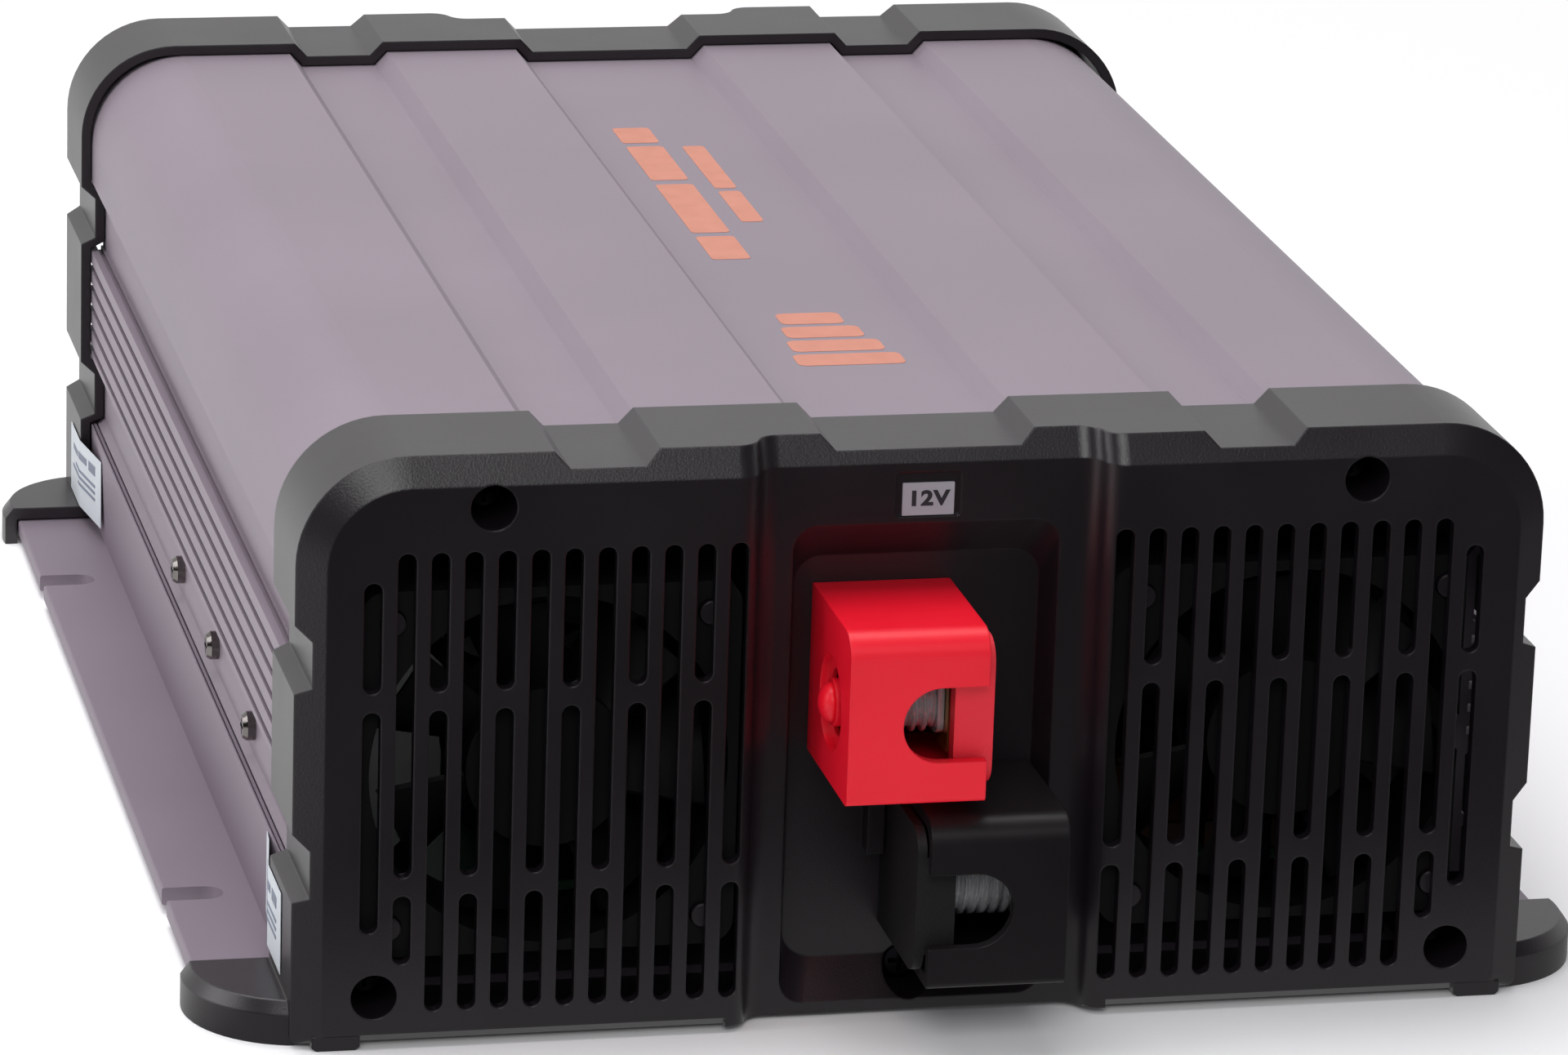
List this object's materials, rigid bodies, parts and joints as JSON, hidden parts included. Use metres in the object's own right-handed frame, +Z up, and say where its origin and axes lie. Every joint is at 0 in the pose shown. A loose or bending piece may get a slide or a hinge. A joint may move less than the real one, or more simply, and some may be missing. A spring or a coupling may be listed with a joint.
{
  "type": "power inverter",
  "caption": "Finned aluminium power inverter with moulded end caps, twin fan grilles, red and black screw-clamp battery terminals in front, and mains sockets and a switch behind.",
  "frame": {"origin": "centre of the bounding box in plan, on the surface that it stands on", "axes": "+Z up, -Y out of the battery-terminal end, +X to the right when facing that end"},
  "size_m": [0.2288, 0.3214, 0.0962],
  "materials": {
    "black_moulding": "fine satin texture",
    "aluminium": "satin anodised",
    "red_plastic": "smooth satin",
    "black_plastic": "smooth satin",
    "red_textured": "coarse texture",
    "black_textured": "coarse texture",
    "steel": "zinc plated",
    "brass": "plain",
    "copper": "tinned copper strap",
    "fan_plastic": "moulded",
    "board_green": "solder mask",
    "ferrite": "ground",
    "copper_wire": "enamelled",
    "sleeve": "shrink sleeve",
    "sink": "mill finish",
    "resin": "moulded",
    "fuse_tan": "translucent",
    "socket_black": "smooth",
    "lens": "clear tinted"
  },
  "bodies": {
    "inverter": {"top_shell": "aluminium", "base_tray": "aluminium", "front_cap": "black_moulding", "rear_cap": "black_moulding", "positive_cover": "red_plastic", "negative_cover": "black_plastic", "positive_carrier": "red_textured", "negative_carrier": "black_textured", "positive_clamp_cage": "brass", "negative_clamp_cage": "brass", "positive_bus_bar": "copper", "negative_bus_bar": "copper", "fan_frame_left": "fan_plastic", "fan_frame_right": "fan_plastic", "main_board": "board_green", "control_board": "board_green", "board_standoffs": "brass", "board_screws": "steel", "heat_sink_left": "sink", "heat_sink_right": "sink", "power_transistors": "resin", "transformer_cores": "ferrite", "transformer_windings": "copper_wire", "input_capacitors": "sleeve", "output_capacitors": "sleeve", "output_choke": "copper_wire", "blade_fuses": "fuse_tan", "ac_socket_upper": "socket_black", "ac_socket_lower": "socket_black", "socket_contacts": "brass", "switch_bezel": "socket_black", "indicator_lenses": "lens", "earth_stud": "steel", "earth_washer": "steel", "earth_nut": "steel", "front_cap_screws": "steel", "rear_cap_screws": "steel", "side_screws": "steel", "fan_screws": "steel"},
    "fan_left": {"fan_impeller_left": "fan_plastic"},
    "fan_right": {"fan_impeller_right": "fan_plastic"},
    "rocker": {"power_rocker": "socket_black"},
    "positive_saddle": {"positive_clamp_saddle": "steel"},
    "positive_screw": {"positive_clamp_screw": "steel", "positive_screw_head": "red_plastic"},
    "negative_saddle": {"negative_clamp_saddle": "steel"},
    "negative_screw": {"negative_clamp_screw": "steel", "negative_screw_head": "black_plastic"}
  },
  "joints": [
    {"name": "fan_left_spin", "type": "hinge", "parent": "inverter", "child": "fan_left", "pos_m": [-0.0597, -0.1408, 0.0444], "axis": [0, 1, 0], "continuous": true},
    {"name": "fan_right_spin", "type": "hinge", "parent": "inverter", "child": "fan_right", "pos_m": [0.0597, -0.1408, 0.0444], "axis": [0, 1, 0], "continuous": true},
    {"name": "power_rocker_tilt", "type": "hinge", "parent": "inverter", "child": "rocker", "pos_m": [0, 0.1417, 0.056], "axis": [-1, 0, 0], "range_deg": [0, 24]},
    {"name": "positive_clamp_advance", "type": "slide", "parent": "inverter", "child": "positive_saddle", "axis": [-1, 0, 0], "range_m": [0, 0.006]},
    {"name": "positive_clamp_turn", "type": "hinge", "parent": "positive_saddle", "child": "positive_screw", "pos_m": [-0.002, -0.1475, 0.056], "axis": [-1, 0, 0], "range_deg": [0, 1235]},
    {"name": "negative_clamp_advance", "type": "slide", "parent": "inverter", "child": "negative_saddle", "axis": [1, 0, 0], "range_m": [0, 0.006]},
    {"name": "negative_clamp_turn", "type": "hinge", "parent": "negative_saddle", "child": "negative_screw", "pos_m": [0.0046, -0.1475, 0.0252], "axis": [1, 0, 0], "range_deg": [0, 1235]}
  ],
  "couplings": [
    {"joint": "positive_clamp_turn", "follows": "positive_clamp_advance", "rad_per_m": 3590.4},
    {"joint": "negative_clamp_turn", "follows": "negative_clamp_advance", "rad_per_m": 3590.4}
  ]
}
